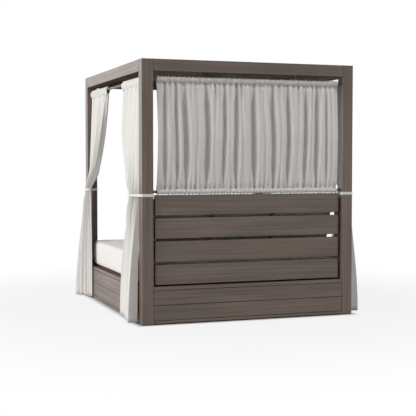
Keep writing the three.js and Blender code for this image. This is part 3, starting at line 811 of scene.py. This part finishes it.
def block(name, material, size, upright_corner, edge):
    """A block centred on the origin, with round upright corners and softly rounded edges."""
    shape = bmesh.new()
    bmesh.ops.create_cube(shape, size=1)
    bmesh.ops.scale(shape, vec=size, verts=shape.verts)

    def rise(line):
        return abs(line.verts[0].co.z - line.verts[1].co.z)

    def round_off(edges, offset, segments):
        bmesh.ops.bevel(
            shape,
            geom=edges,
            offset=offset,
            segments=segments,
            affect="EDGES",
            profile=0.5,
            material=-1,
            offset_type="OFFSET",
            clamp_overlap=True,
        )

    round_off([line for line in shape.edges if rise(line) > size[2] / 2], upright_corner, 8)
    round_off([line for line in shape.edges if rise(line) < 1e-6 and line.calc_face_angle(0) > 1], edge, 4)
    return new_piece(name, finished_mesh(name, shape), material)


def inflate(piece, pressure, limit):
    """Blows a piece up as cloth under pressure. No point may end further than the limit from its start."""
    start = points_of(piece.data)
    cloth = piece.modifiers.new("Cloth", "CLOTH")
    cloth.settings.quality = 4
    cloth.settings.use_pressure = True
    cloth.settings.uniform_pressure_force = pressure
    cloth.settings.tension_stiffness = 8
    cloth.settings.compression_stiffness = 8
    cloth.settings.shear_stiffness = 4
    cloth.settings.bending_stiffness = 0.4
    cloth.settings.effector_weights.gravity = 0
    cloth.point_cache.frame_start = 1
    cloth.point_cache.frame_end = SWELL_FRAMES
    scene = bpy.context.scene
    for number in range(1, SWELL_FRAMES + 1):
        scene.frame_set(number)
    graph = bpy.context.evaluated_depsgraph_get()
    ended = points_of(piece.evaluated_get(graph).data)
    piece.modifiers.clear()
    scene.frame_set(1)
    moved = ended - start
    length = np.linalg.norm(moved, axis=1, keepdims=True)
    set_points(piece.data, start + moved * np.minimum(1, limit / np.maximum(length, 1e-9)))


def swell(piece, size, voxel, pressure, limit):
    """Makes a block a soft padded form, centred, whose box is the size."""
    add_modifier(piece, "REMESH", mode="VOXEL", voxel_size=voxel)
    apply_modifiers(piece)
    inflate(piece, pressure, limit)
    add_modifier(piece, "SMOOTH", factor=0.5, iterations=2)
    apply_modifiers(piece)
    points = points_of(piece.data)
    low, high = points.min(axis=0), points.max(axis=0)
    set_points(piece.data, (points - (low + high) / 2) * (np.array(size) / (high - low)))


def subdivide(piece):
    add_modifier(piece, "SUBSURF", levels=1, render_levels=1)
    apply_modifiers(piece)
    piece.data.shade_smooth()


def seam_ring(piece, level, inward, count):
    """Points round a padded piece at a level, just inside its cover."""
    mesh = piece.data
    tree = BVHTree.FromPolygons([v.co for v in mesh.vertices], [p.vertices for p in mesh.polygons])
    ring = []
    for angle in np.linspace(0, 2 * np.pi, count, endpoint=False):
        direction = Vector((math.cos(angle), math.sin(angle), 0))
        hit = tree.ray_cast(Vector((0, 0, level)), direction)[0]
        ring.append(hit - inward * direction)
    even = evenly_spaced(np.array(ring), count, endpoint=False)
    for _ in range(2):
        even = (np.roll(even, 1, axis=0) + 2 * even + np.roll(even, -1, axis=0)) / 4
    return even


# One operator for each group of pieces


class DAYBED_OT_timber(bpy.types.Operator):
    """Finish the posts, beams, boards, slats, roof and deck as stained timber with softened edges"""

    bl_idname = "daybed.timber"
    bl_label = "Timber Finish"

    def execute(self, context):
        settings = context.scene.daybed_timber
        rounding = {"width": settings.edge, "segments": 2, "limit_method": "ANGLE"}
        rounding["angle_limit"] = math.radians(40)
        names = sorted(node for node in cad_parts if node.startswith(TIMBER))
        for number, name in enumerate(names):
            low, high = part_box(name)
            longest = int(np.argmax(high - low))
            piece = finish_cad(name, timber_material(settings, longest, number % len(BOARD_SHADES)))
            add_modifier(piece, "WELD", merge_threshold=MERGE_DISTANCE)
            add_modifier(piece, "BEVEL", **rounding)
        return {"FINISHED"}


class DAYBED_OT_seam_shade_strips(bpy.types.Operator):
    """Lay a dark strip of painted shade in each groove between the boards of the base and at the ends of the
    beams
    """

    bl_idname = "daybed.seam_strips"
    bl_label = "Seam Strips"

    def execute(self, context):
        # The strips are painted shade: near-black solids put in the grooves, where there is only shadow
        material = groove_shade_material()
        for wall, across, outward in WALLS:
            low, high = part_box(f"top_beam_{wall}")
            face = high[across] if outward > 0 else low[across]
            lines = []
            for board in ("base_rail", "upper_plank", "lower_plank"):
                low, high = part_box(f"{board}_{wall}")
                lines.append(((low[1 - across], low.z), (high[1 - across], low.z)))
            for board in ("top_beam", "upper_plank", "lower_plank"):
                low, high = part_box(f"{board}_{wall}")
                for place in (low[1 - across], high[1 - across]):
                    lines.append(((place, low.z), (place, high.z)))
            self.add_shade_strips(wall, material, across, face - outward * STRIP_SETBACK, lines)
        return {"FINISHED"}

    def add_shade_strips(self, wall, material, across, depth_place, lines):
        """One piece with a square strip of painted shade along each line of a wall."""
        shape = bmesh.new()
        for start, end in lines:
            first = Vector((start[0], start[0], start[1]))
            second = Vector((end[0], end[0], end[1]))
            first[across] = second[across] = depth_place
            size = [abs(b - a) + STRIP_WIDTH for a, b in zip(first, second)]
            place = Matrix.Translation((first + second) / 2) @ Matrix.Diagonal((*size, 1))
            bmesh.ops.create_cube(shape, size=1, matrix=place)
        name = f"seam_strips_{wall}"
        strips = new_piece(name, finished_mesh(name, shape), material)
        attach(strips, "frame")


class DAYBED_OT_metal(bpy.types.Operator):
    """Finish the rods and hangers as painted metal and the feet as moulded plastic"""

    bl_idname = "daybed.metal"
    bl_label = "Metal and Plastic Finish"

    def execute(self, context):
        metal = metal_material()
        for side, _ in SIDES:
            finish_cad(f"rod_hanger_{side}", metal)
        for name in ("back_upper", "back_lower", "left", "right"):
            self.turn_rod(f"curtain_rod_{name}", metal)
        plastic = foot_material()
        for end, side, _, _ in CORNERS:
            finish_cad(f"foot_{end}_{side}", plastic)
        return {"FINISHED"}

    def turn_rod(self, node, metal):
        """A round rod with a flange at each end, turned from its profile, in the place of the faceted one."""
        low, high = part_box(node)
        along_x = high.x - low.x > high.y - low.y
        half = (high.x - low.x if along_x else high.y - low.y) / 2
        profile = [(radius, place - half) for radius, place in ROD_END]
        profile += [(radius, -place) for radius, place in reversed(profile)]
        shape = bmesh.new()
        verts = [shape.verts.new((radius, 0, place)) for radius, place in profile]
        edges = [shape.edges.new(pair) for pair in zip(verts, verts[1:])]
        spin = {"cent": (0, 0, 0), "axis": (0, 0, 1), "dvec": (0, 0, 0), "angle": 2 * math.pi, "steps": 32}
        bmesh.ops.spin(shape, geom=verts + edges, use_merge=True, **spin)
        bmesh.ops.remove_doubles(shape, verts=shape.verts, dist=MERGE_DISTANCE)
        bmesh.ops.recalc_face_normals(shape, faces=shape.faces)
        shape.faces.sort(key=self.place_round_rod)
        turn = Euler((0, math.pi / 2, 0) if along_x else (math.pi / 2, 0, 0)).to_matrix().to_4x4()
        matrix = Matrix.Translation(middle_of(node)) @ turn
        bmesh.ops.transform(shape, matrix=matrix, verts=shape.verts)
        mesh = finished_mesh(f"{node}_turned", shape)
        mesh.shade_smooth()
        mesh.set_sharp_from_angle(angle=math.radians(35))
        rod = new_piece(f"{node}_turned", mesh, metal)
        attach(rod, "frame")
        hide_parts(node)

    def place_round_rod(self, face):
        """A number that puts the faces in a fixed order, along the rod and round it, as spin doesn't."""
        x, y, z = face.calc_center_median()
        return math.atan2(y, x) + 4 * math.pi * round(z / MERGE_DISTANCE)


class DAYBED_OT_back_curtain(bpy.types.Operator):
    """Hang the gathered back curtain between its two rods"""

    bl_idname = "daybed.back_curtain"
    bl_label = "Back Curtain"

    def execute(self, context):
        settings = context.scene.daybed_curtain
        material = curtain_material("back_curtain_cloth", settings)
        rows = back_curtain_rows(settings)
        piece, flat = cloth_piece("back_curtain_cloth", material, rows, settings.thickness)
        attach(piece, "frame")
        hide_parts("back_curtain")
        return {"FINISHED"}


class DAYBED_OT_side_curtains(bpy.types.Operator):
    """Hang the four side curtains, drawn in at the waist and flared at the hem"""

    bl_idname = "daybed.side_curtains"
    bl_label = "Side Curtains"

    def execute(self, context):
        settings = context.scene.daybed_curtain
        material = curtain_material("side_curtain_cloth", settings)
        phase = 0.0
        for end, side, end_sign, side_sign in CORNERS:
            name = f"side_curtain_{end}_{side}"
            fuller = FULLER_SKIRT if (end, side) == ("back", "right") else {}
            rows = side_curtain_rows(side_sign, end_sign, HANGS[end] | fuller, settings, phase)
            piece, flat = cloth_piece(f"{name}_cloth", material, rows, settings.thickness)
            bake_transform(piece)
            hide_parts(name)
            phase += FOLD_SHIFT
        return {"FINISHED"}


class DAYBED_OT_tie_bands(bpy.types.Operator):
    """Wind a tie band twice round each post and the waist of its curtain, under a keeper loop"""

    bl_idname = "daybed.tie_bands"
    bl_label = "Tie Bands"

    def execute(self, context):
        settings = context.scene.daybed_curtain
        material = cloth_material("band_cloth", settings.dye, settings.thread, HUNG_WEAVE, 0.2)
        for end, side, end_sign, side_sign in CORNERS:
            name = f"tie_band_{end}_{side}"
            rows = []
            for rise, out in BAND_SECTION:
                line = band_line(side_sign, end_sign, HANGS[end], BAND_OFFSET + out)
                rows.append(np.column_stack([line, np.full(len(line), WAIST_Z + rise)]))
            rows = np.array(rows)
            piece, flat = cloth_piece(f"{name}_cloth", material, rows, 0.0018, closed=True)
            keeper = self.add_keeper(name, rows, material)
            for strap in (piece, keeper):
                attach(strap, "frame")
            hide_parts(name)
        return {"FINISHED"}

    def add_keeper(self, name, rows, material):
        """A short loop of the same strap round both turns, on the outside of the curtain."""
        line = rows[0, :, :2]
        middle = line.mean(axis=0)
        start = int(np.argmax(np.sign(middle[0]) * line[:, 0]))
        picked = line[(start + np.arange(-3, 4)) % (len(line) - 1)]
        along = picked[-1] - picked[0]
        away = np.array([along[1], -along[0]]) / np.linalg.norm(along)
        away *= np.sign(away @ (picked[3] - middle))
        loops = []
        for rise, out in KEEPER_SECTION:
            loops.append(np.column_stack([picked + away * out, np.full(len(picked), WAIST_Z + rise)]))
        return cloth_piece(f"{name}_keeper", material, np.array(loops), 0.0012)[0]


class DAYBED_OT_mattress(bpy.types.Operator):
    """Lay the foam mattress, with its swollen cover and corded seams, on the deck"""

    bl_idname = "daybed.mattress"
    bl_label = "Mattress"

    def execute(self, context):
        settings = context.scene.daybed_padding
        material = cloth_material("mattress_cloth", settings.mattress_dye, 0.0016, COVER_WEAVE, 0.5)
        low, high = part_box("mattress")
        size = high - low
        start = (size.x - 0.012, size.y - 0.012, size.z - 0.014)
        piece = block("mattress_cover", material, start, upright_corner=0.088, edge=0.026)
        swell(piece, size, voxel=0.018, pressure=3.0, limit=settings.mattress_swell)
        subdivide(piece)
        points = points_of(piece.data)
        floor = -size.z / 2
        points[:, 2] = np.where(points[:, 2] < floor + 0.004, floor + 0.0002, points[:, 2])
        set_points(piece.data, points)
        parts = [piece]
        for level, name in ((size.z / 2 - 0.030, "top"), (0.030 - size.z / 2, "bottom")):
            ring = seam_ring(piece, level, inward=0.0008, count=420)
            parts.append(cord_along(f"mattress_seam_{name}", material, ring, 0.7 * settings.piping))
        for part in parts:
            part.data.transform(Matrix.Translation(middle_of("mattress")))
            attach(part, "mattress")
        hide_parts("mattress")
        return {"FINISHED"}


class DAYBED_OT_cushions(bpy.types.Operator):
    """Lean the three back cushions on the slats, with their swollen covers and piping"""

    bl_idname = "daybed.cushions"
    bl_label = "Back Cushions"

    def execute(self, context):
        settings = context.scene.daybed_padding
        material = cloth_material("cushion_cloth", settings.cushion_dye, 0.0014, COVER_WEAVE, 0.3)
        turn = Euler((math.pi / 2 - math.radians(CUSHION_LEAN), 0, 0)).to_matrix().to_4x4()
        for number, (place, height) in enumerate(CUSHION_HEIGHTS.items()):
            name = f"back_cushion_{place}"
            size = (CUSHION_WIDTH, height, CUSHION_DEPTH)
            start = (size[0] - 0.030, size[1] - 0.030, 0.085)
            piece = block(f"{name}_cover", material, start, upright_corner=0.045, edge=0.034)
            points = points_of(piece.data)
            wobble = np.sin(17 * points[:, 0] + 2 * number) * np.cos(15 * points[:, 1] - number)
            points[:, 2] += 0.0015 * wobble
            set_points(piece.data, points)
            swell(piece, size, voxel=0.009, pressure=4.5, limit=settings.cushion_swell)
            points = points_of(piece.data)
            across, along = 2 * points[:, 0] / size[0], 2 * points[:, 1] / size[1]
            points[:, 0] *= 1 + 0.035 * (1 - along**2)
            points[:, 1] *= 1 - settings.ears * (1 - across**2)
            set_points(piece.data, points)
            subdivide(piece)
            ring = seam_ring(piece, 0.0, inward=0.0010, count=260)
            piping = cord_along(f"{name}_piping", material, ring, settings.piping)
            for part in (piece, piping):
                part.data.transform(turn)
            points = points_of(piece.data)
            low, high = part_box(name)
            shift_x = (low.x + high.x) / 2
            shift_y = high.y - points[:, 1].max() - CUSHION_CLEARANCE
            shift_z = low.z - points[:, 2].min() + CUSHION_CLEARANCE
            for part in (piece, piping):
                part.data.transform(Matrix.Translation((shift_x, shift_y, shift_z)))
                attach(part, name)
            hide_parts(name)
        return {"FINISHED"}


class DAYBED_OT_stage(bpy.types.Operator):
    """Set the camera, the pale floor, the three soft lamps and the even surround"""

    bl_idname = "daybed.stage"
    bl_label = "Camera and Light"

    def execute(self, context):
        settings = context.scene.daybed_stage
        scene = context.scene
        scene.view_settings.view_transform = "Standard"
        self.add_camera(scene, settings)
        self.add_floor()
        for name, angles in LAMPS.items():
            self.add_lamp(name, getattr(settings, name), *map(math.radians, angles))
        self.set_surround(scene, settings)
        return {"FINISHED"}

    def add_camera(self, scene, settings):
        data = bpy.data.cameras.new("view_camera")
        data.lens = settings.lens
        data.sensor_width = 36
        data.clip_end = 100
        camera = bpy.data.objects.new("view_camera", data)
        camera.location = settings.camera_place
        camera.rotation_euler = settings.camera_angles
        scene.collection.objects.link(camera)
        scene.camera = camera

    def add_floor(self):
        """A pale floor that keeps the daybed's shadow and fades to white with distance.

        Below the daybed and close round it, the floor has no white of its own."""
        material, tree, shader = new_material("pale_floor", 0.9, Specular_IOR_Level=0.1)
        shader.inputs["Base Color"].default_value = (FLOOR_GREY, FLOOR_GREY, FLOOR_GREY, 1)
        place = add_node(tree, "ShaderNodeTexCoord").outputs["Object"]
        length = add_node(tree, "ShaderNodeVectorMath", {0: place}, operation="LENGTH").outputs["Value"]
        fade = span(tree, length, *FLOOR_FADE, *FLOOR_WHITE, interpolation_type="SMOOTHSTEP")
        vector = "ShaderNodeVectorMath"
        apart = calculate(tree, "ABSOLUTE", place, kind=vector)
        beyond = calculate(tree, "SUBTRACT", apart, (POST_HIGH.x, POST_HIGH.y, 0), kind=vector)
        sides = add_node(tree, "ShaderNodeSeparateXYZ", {0: beyond}).outputs
        clear = span(tree, calculate(tree, "MAXIMUM", sides["X"], sides["Y"]), 0, CONTACT_SHADOW, 0, 1)
        paths = add_node(tree, "ShaderNodeLightPath").outputs
        seen = calculate(tree, "MAXIMUM", paths["Is Camera Ray"], paths["Is Glossy Ray"])
        seen = calculate(tree, "MULTIPLY", seen, clear)
        white = add_node(tree, "ShaderNodeEmission", {"Color": (1, 1, 1, 1), "Strength": 1.0}).outputs[0]
        mix_shaders(tree, calculate(tree, "MULTIPLY", seen, fade), shader.outputs[0], white)
        shape = bmesh.new()
        bmesh.ops.create_grid(shape, x_segments=2, y_segments=2, size=30)
        new_piece("floor", finished_mesh("floor", shape), material)

    def add_lamp(self, name, energy, elevation, turn, spread):
        """A soft lamp far away. Its turn is measured from the daybed's left towards its back."""
        data = bpy.data.lights.new(name, "SUN")
        data.energy = energy
        data.angle = spread
        data.color = LAMP_COLOUR
        lamp = bpy.data.objects.new(name, data)
        level = math.cos(elevation)
        place = Vector((level * math.cos(turn), level * math.sin(turn), math.sin(elevation)))
        lamp.rotation_euler = (-place).to_track_quat("-Z", "Y").to_euler()
        lamp.location = LAMP_DISTANCE * place
        bpy.context.scene.collection.objects.link(lamp)

    def set_surround(self, scene, settings):
        """Even light from all round, which is white where it is seen itself."""
        world = bpy.data.worlds.new("surround")
        scene.world = world
        world.use_nodes = True
        tree = world.node_tree
        paths = add_node(tree, "ShaderNodeLightPath").outputs
        seen = calculate(tree, "MAXIMUM", paths["Is Camera Ray"], paths["Is Glossy Ray"])
        seen = calculate(tree, "MAXIMUM", seen, paths["Is Transmission Ray"])
        background = tree.nodes["Background"]
        tree.links.new(span(tree, seen, 0, 1, settings.surround, 1), background.inputs["Strength"])
        background.inputs["Color"].default_value = (1, 1, 1, 1)


class DAYBED_PT_panel(bpy.types.Panel):
    """Settings and steps of the daybed"""

    bl_idname = "DAYBED_PT_panel"
    bl_label = "Canopy Daybed"
    bl_space_type = "VIEW_3D"
    bl_region_type = "UI"
    bl_category = "Daybed"

    def draw(self, context):
        for name, group in SETTINGS.items():
            box = self.layout.box()
            for field in group.__annotations__:
                box.prop(getattr(context.scene, name), field)
        for step in STEPS:
            self.layout.operator(step.bl_idname)


SETTINGS = {
    "daybed_timber": TimberSettings,
    "daybed_curtain": CurtainSettings,
    "daybed_padding": PaddingSettings,
    "daybed_stage": StageSettings,
}
STEPS = (
    DAYBED_OT_timber,
    DAYBED_OT_seam_shade_strips,
    DAYBED_OT_metal,
    DAYBED_OT_back_curtain,
    DAYBED_OT_side_curtains,
    DAYBED_OT_tie_bands,
    DAYBED_OT_mattress,
    DAYBED_OT_cushions,
    DAYBED_OT_stage,
)


def register():
    for group in SETTINGS.values():
        bpy.utils.register_class(group)
    for step in STEPS:
        bpy.utils.register_class(step)
    bpy.utils.register_class(DAYBED_PT_panel)
    for name, group in SETTINGS.items():
        setattr(bpy.types.Scene, name, PointerProperty(type=group))


def unregister():
    for name in SETTINGS:
        delattr(bpy.types.Scene, name)
    bpy.utils.unregister_class(DAYBED_PT_panel)
    for step in reversed(STEPS):
        bpy.utils.unregister_class(step)
    for group in reversed(SETTINGS.values()):
        bpy.utils.unregister_class(group)


def main():
    register()
    bpy.ops.daybed.timber()
    bpy.ops.daybed.seam_strips()
    bpy.ops.daybed.metal()
    bpy.ops.daybed.back_curtain()
    bpy.ops.daybed.side_curtains()
    bpy.ops.daybed.tie_bands()
    bpy.ops.daybed.mattress()
    bpy.ops.daybed.cushions()
    bpy.ops.daybed.stage()
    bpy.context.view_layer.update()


if __name__ == "__main__":
    main()
